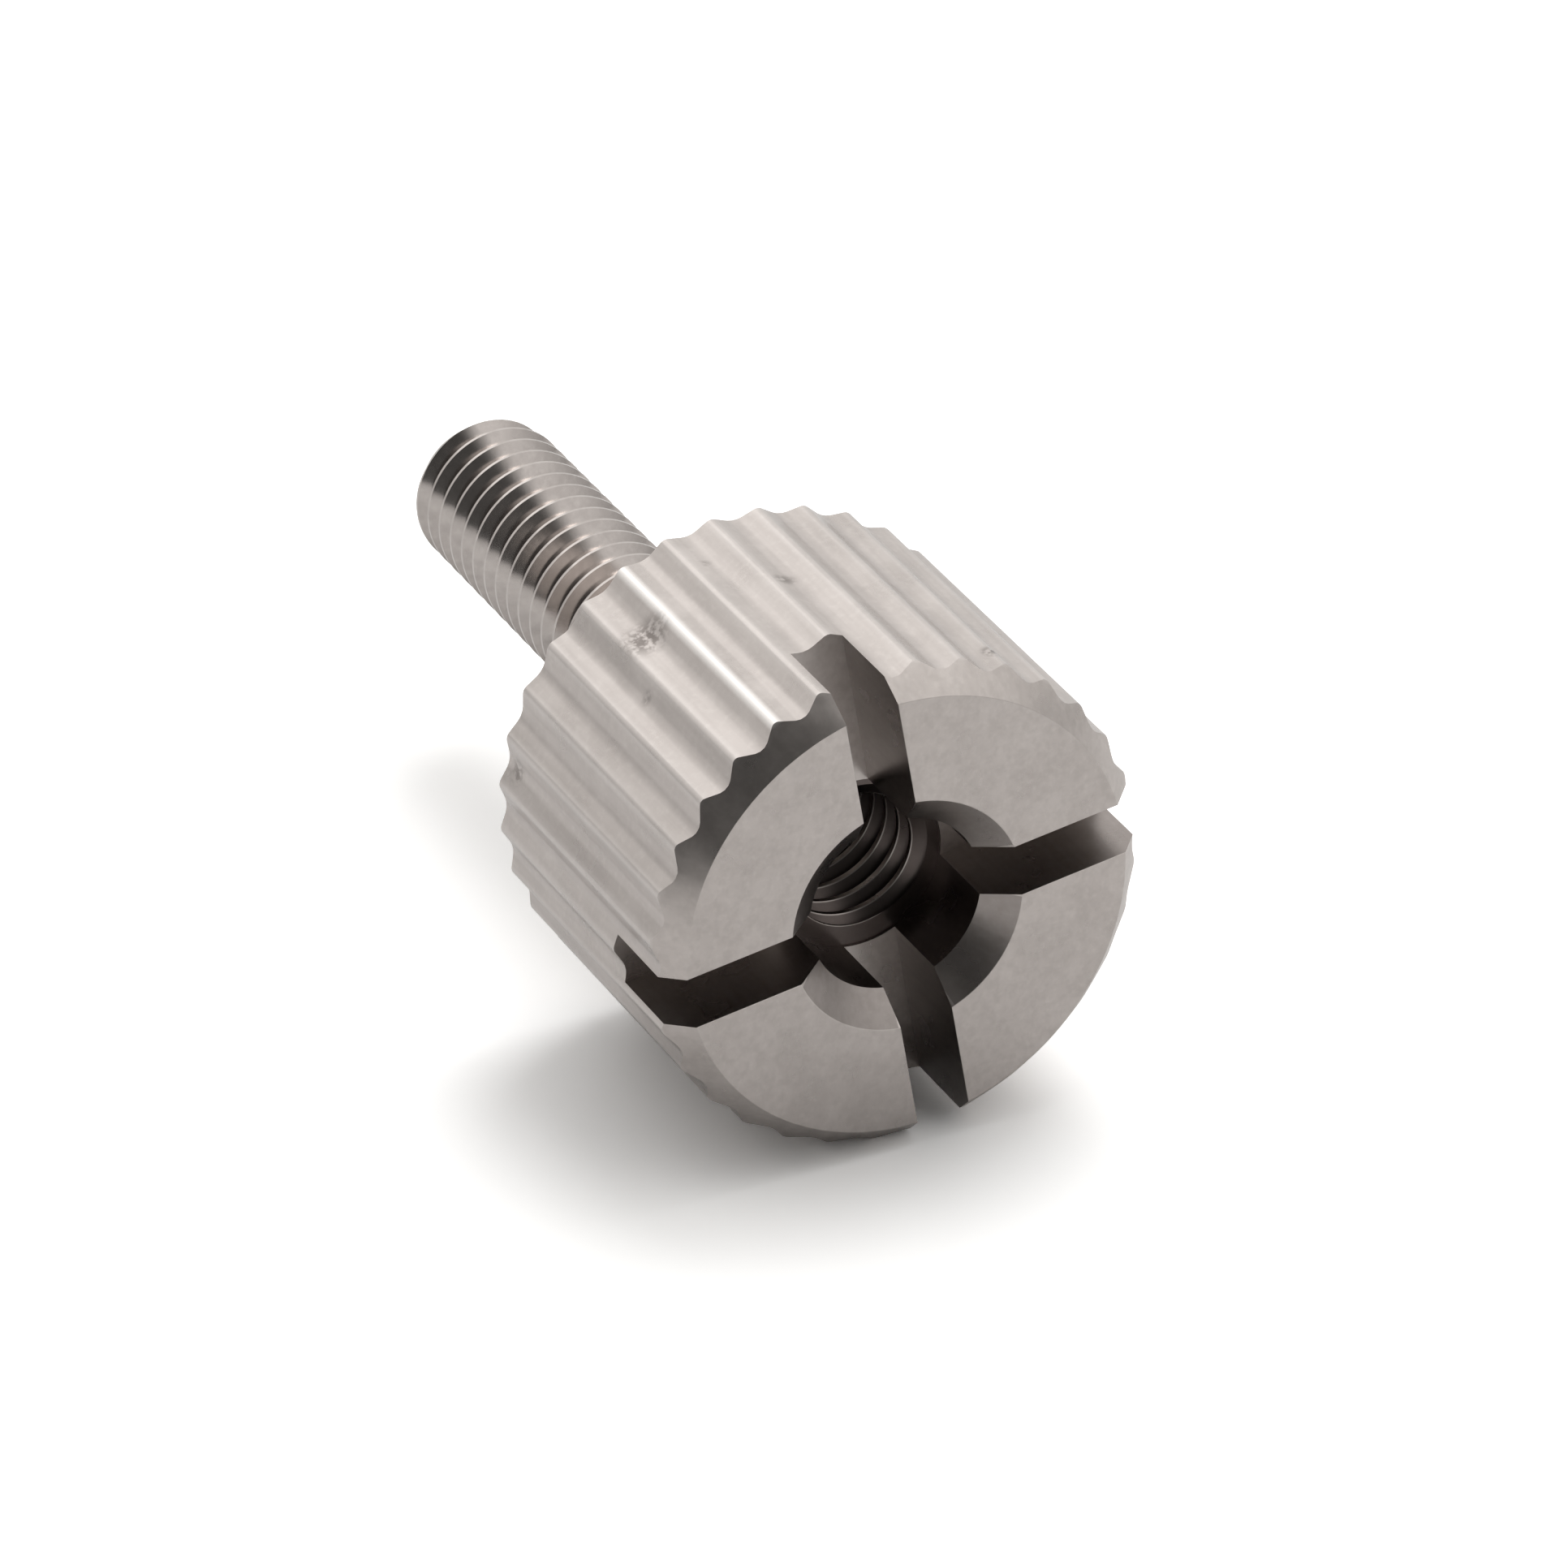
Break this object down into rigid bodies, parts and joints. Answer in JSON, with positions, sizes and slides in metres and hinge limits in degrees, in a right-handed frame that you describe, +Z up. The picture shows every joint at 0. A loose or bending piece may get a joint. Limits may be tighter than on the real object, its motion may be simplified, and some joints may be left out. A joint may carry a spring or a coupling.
{
  "type": "thumb screw",
  "caption": "Stainless thumb screw with a ribbed round head, crossed driver slots, a countersunk tapped hole in the head and a threaded stud.",
  "frame": {"origin": "centre of the head's bearing face, on the screw's axis", "axes": "+X along the screw's axis, out of the head's front face; the stud points along -X; +Z up as the screw lies on two ribs of its head"},
  "size_m": [0.036, 0.0188, 0.0188],
  "materials": {
    "stainless": "satin, tumbled, uncoated stainless steel"
  },
  "bodies": {
    "root": {"thumb_screw": "stainless"}
  },
  "joints": []
}
